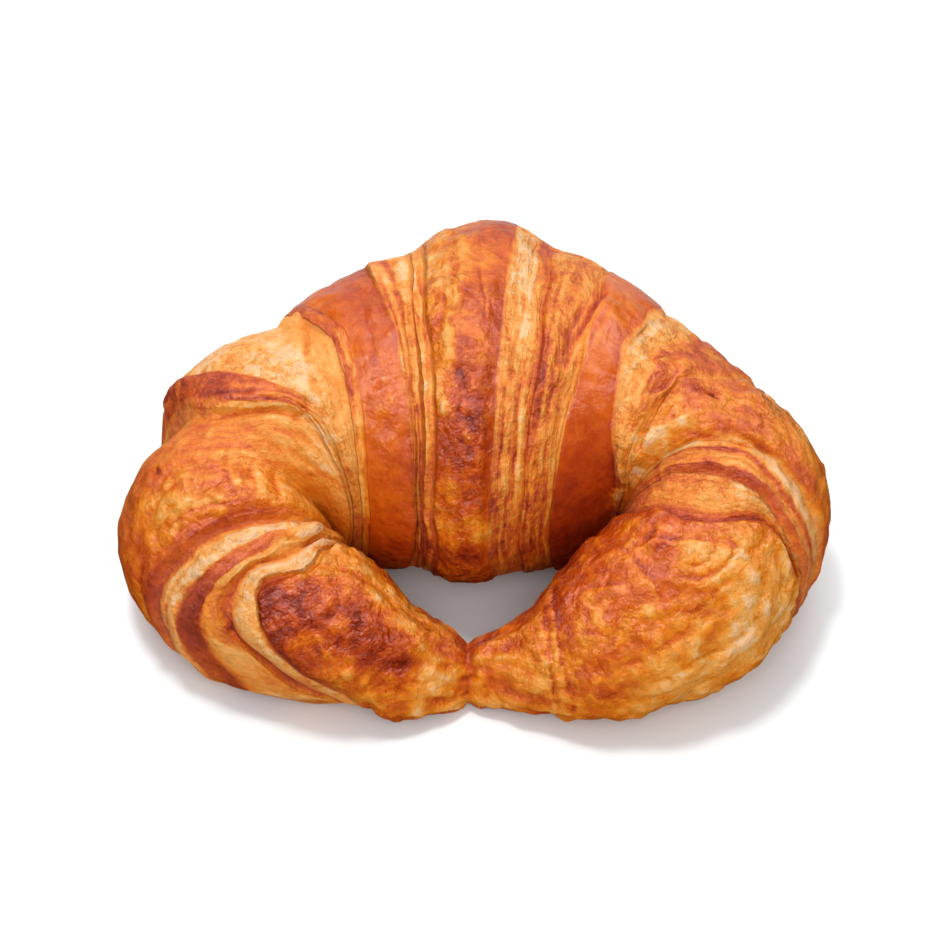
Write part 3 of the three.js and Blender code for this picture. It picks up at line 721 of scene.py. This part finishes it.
def crust_material(settings):
    """Crust whose colour and gloss follow how the dough was baked and glazed, plus painted light
    and shade.
    """
    material = bpy.data.materials.new("baked crust")
    material.use_nodes = True
    tree = material.node_tree
    nodes, links = tree.nodes, tree.links
    nodes.clear()
    output = nodes.new("ShaderNodeOutputMaterial")
    shader = nodes.new("ShaderNodeBsdfPrincipled")
    links.new(shader.outputs["BSDF"], output.inputs["Surface"])

    def attribute(name):
        node = nodes.new("ShaderNodeAttribute")
        node.attribute_name = name
        node.label = name
        return node

    def noise(vector, scale, detail, roughness, label, stretch=(1, 1, 1)):
        mapping = nodes.new("ShaderNodeMapping")
        mapping.inputs["Scale"].default_value = stretch
        links.new(vector, mapping.inputs["Vector"])
        node = nodes.new("ShaderNodeTexNoise")
        node.inputs["Scale"].default_value = scale
        node.inputs["Detail"].default_value = detail
        node.inputs["Roughness"].default_value = roughness
        node.label = label
        links.new(mapping.outputs["Vector"], node.inputs["Vector"])
        return node.outputs["Fac"]

    def math_node(operation, a, b=None, c=None):
        node = nodes.new("ShaderNodeMath")
        node.operation = operation
        for socket, value in zip(node.inputs, (a, b, c)):
            if value is None:
                continue
            if isinstance(value, (int, float)):
                socket.default_value = value
            else:
                links.new(value, socket)
        return node.outputs["Value"]

    def spread(value, low, high):
        """Noise stretched so that it runs from low to high."""
        node = nodes.new("ShaderNodeMapRange")
        links.new(value, node.inputs["Value"])
        node.inputs["From Min"].default_value = 0.25
        node.inputs["From Max"].default_value = 0.75
        node.inputs["To Min"].default_value = low
        node.inputs["To Max"].default_value = high
        return node.outputs["Result"]

    def warped(vector, scale, amount):
        """The same place pushed about by noise, so that a pattern doesn't run straight."""
        push = nodes.new("ShaderNodeTexNoise")
        push.inputs["Scale"].default_value = scale
        push.inputs["Detail"].default_value = 3
        push.label = "push"
        links.new(vector, push.inputs["Vector"])
        shift = nodes.new("ShaderNodeVectorMath")
        shift.operation = "MULTIPLY_ADD"
        links.new(push.outputs["Color"], shift.inputs[0])
        shift.inputs[1].default_value = (amount, amount, amount)
        links.new(vector, shift.inputs[2])
        return shift.outputs["Vector"]

    def window(value, low, high):
        """A smooth rise from 0 to 1 as the value goes from low to high."""
        node = nodes.new("ShaderNodeMapRange")
        node.interpolation_type = "SMOOTHSTEP"
        links.new(value, node.inputs["Value"])
        node.inputs["From Min"].default_value = low
        node.inputs["From Max"].default_value = high
        return node.outputs["Result"]

    place = nodes.new("ShaderNodeTexCoord").outputs["Object"]
    loaf = warped(attribute("loaf").outputs["Vector"], 70, 0.008)
    skewed = warped(place, 260, 0.002)
    bake = attribute("bake").outputs["Fac"]
    glaze = attribute("glaze").outputs["Fac"]
    flaky = attribute("flaky").outputs["Fac"]
    leafy = attribute("leafy").outputs["Fac"]
    dull = math_node("SUBTRACT", 1.0, glaze)

    # Soft unevenness everywhere; crisp light flecks, pits darkened with painted shade and thin
    # folds where it is flaky, and painted shade at the foot of each shingled flake.
    glossy_flake = math_node("MULTIPLY", glaze, flaky)
    mottle = noise(place, 230, 7, 0.66, "mottle")
    fleck_field = noise(skewed, 340, 4, 0.58, "flecks")
    patch_field = noise(skewed, 140, 4, 0.60, "caramel patches")
    light_fleck = math_node("MULTIPLY", window(fleck_field, 0.52, 0.60), glossy_flake)
    dark_fleck = math_node("MULTIPLY", window(fleck_field, 0.46, 0.38), glossy_flake)
    patch = math_node("MULTIPLY", window(patch_field, 0.52, 0.555), flaky)
    streak = noise(loaf, 70, 5, 0.6, "streak along the wraps", (7, 1, 1))
    leaf_lines = noise(loaf, 105, 3, 0.55, "edges of thin leaves", (6, 1.6, 1.6))
    shingle_field = noise(skewed, 120, 4, 0.55, "shingled flakes")
    shingle = math_node("FRACT", math_node("MULTIPLY", shingle_field, 11.0))
    lifted = math_node("MULTIPLY", window(mottle, 0.46, 0.56), flaky)
    shingle_edge = math_node("MULTIPLY", window(shingle, 0.74, 0.98), lifted)
    # Painted shade just under the raised edge of each shingled flake.
    shingle_foot_shade = math_node("MULTIPLY", window(shingle, 0.16, 0.02), lifted)
    speck = noise(place, 1400, 3, 0.65, "crumb")
    pore = noise(skewed, 470, 3, 0.6, "pores")
    open_dough = math_node("MULTIPLY", dull, flaky)
    matt = math_node("MULTIPLY_ADD", dull, 0.75, 0.25)

    total = math_node("ADD", bake, spread(mottle, -0.09, 0.09))
    total = math_node("MULTIPLY_ADD", light_fleck, -0.12, total)
    total = math_node("MULTIPLY_ADD", dark_fleck, 0.07, total)
    total = math_node("MULTIPLY_ADD", patch, -0.13, total)
    # Painted shade in the pits of the open dough.
    pore_pit_shade = math_node("MULTIPLY", window(pore, 0.49, 0.39), open_dough)
    total = math_node("MULTIPLY_ADD", pore_pit_shade, 0.30, total)
    total = math_node("MULTIPLY_ADD", shingle_edge, -0.14, total)
    # Painted shade at the foot of each shingled flake.
    total = math_node("MULTIPLY_ADD", shingle_foot_shade, 0.12, total)
    total = math_node("ADD", total, math_node("MULTIPLY", spread(leaf_lines, 0.22, -0.22), leafy))
    total = math_node("ADD", total, math_node("MULTIPLY", spread(streak, -0.12, 0.12), matt))
    total = math_node("ADD", total, math_node("MULTIPLY", spread(speck, -0.12, 0.12), matt))
    total = math_node("MAXIMUM", total, 0.08)
    stops = [
        (0.0, settings.pale), (0.20, settings.gold), (0.42, settings.amber),
        (0.62, settings.brown), (0.80, settings.russet), (1.0, settings.dark),
    ]
    ramp = colour_ramp(nodes, [(p, tuple(c)) for p, c in stops], "bake to colour")
    links.new(total, ramp.inputs["Fac"])
    links.new(ramp.outputs["Color"], shader.inputs["Base Color"])

    gloss = math_node("MULTIPLY_ADD", glaze, -0.50, 0.68)
    gloss = math_node("ADD", gloss, spread(patch_field, 0.08, -0.08))
    links.new(gloss, shader.inputs["Roughness"])
    shader.inputs["IOR"].default_value = 1.45
    shader.inputs["Specular IOR Level"].default_value = 0.50

    # Smooth dimples and blisters under the glaze, crumb and fibres where the dough is dull.
    fibre = noise(loaf, 150, 4, 0.6, "fibres along the wraps", (5, 1, 1))
    dimple = noise(place, 210, 1, 0.5, "dimples")
    relief = math_node("MULTIPLY", dimple, math_node("MULTIPLY_ADD", glossy_flake, 0.8, 0.6))
    flake = math_node("MULTIPLY_ADD", glossy_flake, 1.25, 0.1)
    relief = math_node("MULTIPLY_ADD", fleck_field, flake, relief)
    relief = math_node("MULTIPLY_ADD", patch_field, math_node("MULTIPLY", flaky, 0.8), relief)
    wrinkle = noise(skewed, 640, 3, 0.55, "fine wrinkles")
    relief = math_node("MULTIPLY_ADD", wrinkle, math_node("MULTIPLY", glossy_flake, 0.55), relief)
    relief = math_node("MULTIPLY_ADD", shingle, math_node("MULTIPLY", lifted, 0.30), relief)
    relief = math_node("MULTIPLY_ADD", mottle, math_node("MULTIPLY", matt, 0.9), relief)
    relief = math_node("MULTIPLY_ADD", leaf_lines, math_node("MULTIPLY", leafy, 0.8), relief)
    relief = math_node("MULTIPLY_ADD", pore, math_node("MULTIPLY", open_dough, 1.3), relief)
    relief = math_node("MULTIPLY_ADD", fibre, math_node("MULTIPLY", matt, 0.6), relief)
    relief = math_node("MULTIPLY_ADD", speck, math_node("MULTIPLY", dull, 0.4), relief)
    bump = nodes.new("ShaderNodeBump")
    bump.inputs["Strength"].default_value = 0.9
    bump.inputs["Distance"].default_value = 0.0011
    links.new(relief, bump.inputs["Height"])
    links.new(bump.outputs["Normal"], shader.inputs["Normal"])
    return material


class CROISSANT_OT_bake(bpy.types.Operator):
    """Model the croissant: a ring of dough shaped into wraps, arms and belly"""

    bl_idname = "croissant.bake"
    bl_label = "Bake croissant"

    rows: bpy.props.IntProperty(
        name="Rows", description="Points round each section", default=172, min=32, max=400)

    def execute(self, context):
        settings = context.scene.croissant_loaf
        bpy.ops.object.select_all(action="DESELECT")
        point, finish, loaf = shape_of(settings, self.rows)
        rings = len(point)
        low, high = (np.array(corner) for corner in LOAF_BOX)
        bpy.ops.mesh.primitive_grid_add(
            x_subdivisions=self.rows, y_subdivisions=rings, size=high[0] - low[0],
            location=(0, 0, 0))
        dough = context.object
        dough.name = dough.data.name = "croissant_crust"
        mesh = dough.data
        if len(mesh.vertices) != (rings + 1) * (self.rows + 1):
            raise RuntimeError("the sheet of dough has the wrong number of points")

        # The base lies flat on the table, and the whole fits the frame's box.
        co = point / 1000
        co[..., 2] = np.maximum(co[..., 2], 0)
        least, most = co.min((0, 1)), co.max((0, 1))
        fit = np.minimum((high - low) / (most - least), MOST_STRETCH)
        co = (co - (least + most) / 2) * fit + (low + high) / 2
        co[..., 2] += low[2] - co[..., 2].min()
        rolled = np.pad(co, ((0, 1), (0, 1), (0, 0)), mode="wrap")
        mesh.vertices.foreach_set("co", rolled.ravel())

        corner = np.empty(len(mesh.loops), int)
        mesh.loops.foreach_get("vertex_index", corner)
        for name, value in finish.items():
            layer = mesh.attributes.new(name, "FLOAT", "CORNER")
            value = np.pad(value, ((0, 1), (0, 1)), mode="wrap").ravel()[corner]
            layer.data.foreach_set("value", value.astype(np.float32))
        straight = np.pad(loaf, ((0, 1), (0, 1), (0, 0)), mode="wrap")
        straight[-1, :, 0] = 2 * straight[-2, :, 0] - straight[-3, :, 0]
        layer = mesh.attributes.new("loaf", "FLOAT_VECTOR", "CORNER")
        straight = straight.reshape(-1, 3)[corner] / 1000
        layer.data.foreach_set("vector", straight.ravel().astype(np.float32))
        mesh.uv_layers[0].name = "OFBake"
        mesh.update()

        bpy.ops.object.mode_set(mode="EDIT")
        bpy.ops.mesh.select_all(action="SELECT")
        bpy.ops.mesh.remove_doubles(threshold=1e-7)
        bpy.ops.mesh.normals_make_consistent(inside=False)
        bpy.ops.object.mode_set(mode="OBJECT")
        bpy.ops.object.shade_smooth()
        mesh.materials.clear()
        mesh.materials.append(crust_material(settings))
        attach(dough, "root")
        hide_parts("croissant")
        return {"FINISHED"}


class CROISSANT_OT_stage(bpy.types.Operator):
    """Set the table, the soft lights and the camera"""

    bl_idname = "croissant.stage"
    bl_label = "Set the stage"

    def execute(self, context):
        scene = context.scene
        settings = scene.croissant_stage
        bpy.ops.object.select_all(action="DESELECT")
        bpy.ops.mesh.primitive_plane_add(size=4, location=(0, 0, CAD_BOX[0][2]))
        table = context.object
        table.name = "table"
        paint = bpy.data.materials.new("white table")
        paint.use_nodes = True
        shader = paint.node_tree.nodes["Principled BSDF"]
        shader.inputs["Base Color"].default_value = (0.86, 0.92, 0.94, 1)
        shader.inputs["Roughness"].default_value = 0.9
        shader.inputs["Specular IOR Level"].default_value = 0.1
        table.data.materials.append(paint)
        table.visible_glossy = False

        world = bpy.data.worlds.new("studio")
        scene.world = world
        world.use_nodes = True
        world.node_tree.nodes["Background"].inputs["Color"].default_value = (1, 1, 1, 1)
        world.node_tree.nodes["Background"].inputs["Strength"].default_value = 0.46
        world.cycles_visibility.glossy = False
        # Three soft lamps light the dough and don't show in the glaze, the sheen lamps show only in
        # the glaze, and the small one does both.
        self.lamp("overhead", (-0.05, 0.02, 0.72), 0.60, 0.9).visible_glossy = False
        self.lamp("sparkle", (-0.10, 0.02, 0.80), 0.13, 2.6)
        self.lamp("behind", (-0.02, 0.62, 0.46), 0.80, 2.6).visible_glossy = False
        self.lamp("front", (0.04, -0.55, 0.58), 0.60, 2.3).visible_glossy = False
        self.lamp("sheen", (-0.02, 0.25, 0.75), 1.50, 9.5).visible_diffuse = False
        self.lamp("left sheen", (-0.58, -0.16, 0.56), 0.70, 5.0).visible_diffuse = False
        self.lamp("right sheen", (0.58, 0.20, 0.56), 0.60, 3.5).visible_diffuse = False
        self.lamp("rim sheen", (0.0, 1.0, -0.10), 1.30, 2.4).visible_diffuse = False

        bpy.ops.object.camera_add()
        camera = context.object
        camera.name = "camera"
        aim = Vector((0, -0.0018, 0.022))
        back = Vector((0, -math.cos(settings.elevation), math.sin(settings.elevation)))
        camera.location = aim + back * settings.distance
        camera.rotation_euler = (math.pi / 2 - settings.elevation, 0, 0)
        camera.data.lens = settings.lens
        camera.data.sensor_width = 36
        camera.data.shift_x = 0.0021
        camera.data.shift_y = 0.0042
        scene.camera = camera
        scene.view_settings.view_transform = "Standard"
        return {"FINISHED"}

    def lamp(self, name, place, size, power):
        """A round soft lamp, in metres and watts, that faces the middle of the croissant."""
        bpy.ops.object.light_add(type="AREA", location=place)
        lamp = bpy.context.object
        lamp.name = name
        lamp.data.energy = power
        lamp.data.shape = "DISK"
        lamp.data.size = size
        aim = Vector((0, 0, 0.03)) - Vector(place)
        lamp.rotation_euler = aim.to_track_quat("-Z", "Y").to_euler()
        return lamp


class CROISSANT_PT_panel(bpy.types.Panel):
    """Sizes, colours and steps of the croissant"""

    bl_label = "Butter croissant"
    bl_idname = "CROISSANT_PT_panel"
    bl_space_type = "VIEW_3D"
    bl_region_type = "UI"
    bl_category = "Croissant"

    def draw(self, context):
        column = self.layout.column()
        for settings in (context.scene.croissant_loaf, context.scene.croissant_stage):
            for name in settings.bl_rna.properties.keys():
                if name not in {"rna_type", "name"}:
                    column.prop(settings, name)
        column.operator(CROISSANT_OT_bake.bl_idname)
        column.operator(CROISSANT_OT_stage.bl_idname)


CLASSES = (
    LoafSettings, StageSettings, CROISSANT_OT_bake, CROISSANT_OT_stage, CROISSANT_PT_panel,
)


def register():
    for cls in CLASSES:
        bpy.utils.register_class(cls)
    bpy.types.Scene.croissant_loaf = bpy.props.PointerProperty(type=LoafSettings)
    bpy.types.Scene.croissant_stage = bpy.props.PointerProperty(type=StageSettings)


def unregister():
    del bpy.types.Scene.croissant_stage
    del bpy.types.Scene.croissant_loaf
    for cls in reversed(CLASSES):
        bpy.utils.unregister_class(cls)


def main():
    register()
    bpy.ops.croissant.bake()
    bpy.ops.croissant.stage()


if __name__ == "__main__":
    main()
